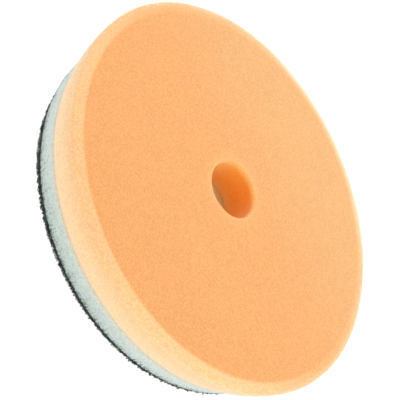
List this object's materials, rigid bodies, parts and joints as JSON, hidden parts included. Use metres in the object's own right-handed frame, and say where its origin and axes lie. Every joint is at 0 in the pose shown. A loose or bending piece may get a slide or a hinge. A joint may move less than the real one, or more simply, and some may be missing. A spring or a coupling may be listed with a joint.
{
  "type": "polishing pad",
  "caption": "Round laminated foam polishing pad with a centre hole: orange polishing foam on pale interface foam, with a black loop back for a hook backing plate.",
  "frame": {"origin": "centre of the loop face, at the plane of the loops' tips, where the pad lies on a surface or meets its backing plate", "axes": "+Z along the pad's axis, from the loop face to the working face; the pad is round, so X and Y are any two directions across it"},
  "size_m": [0.14, 0.14, 0.0253],
  "materials": {
    "polishing_foam": "matte open-cell polyurethane foam, fine cells",
    "interface_foam": "matte firm foam, very fine cells",
    "glue_film": "thin hot-melt adhesive film",
    "loop_fabric": "knitted nylon ground",
    "loop_pile": "brushed nylon loops"
  },
  "bodies": {
    "root": {"polishing_foam": "polishing_foam", "foam_glue_film": "glue_film", "interface_foam": "interface_foam", "backing_glue_film": "glue_film", "loop_fabric": "loop_fabric", "loop_pile": "loop_pile"}
  },
  "joints": []
}
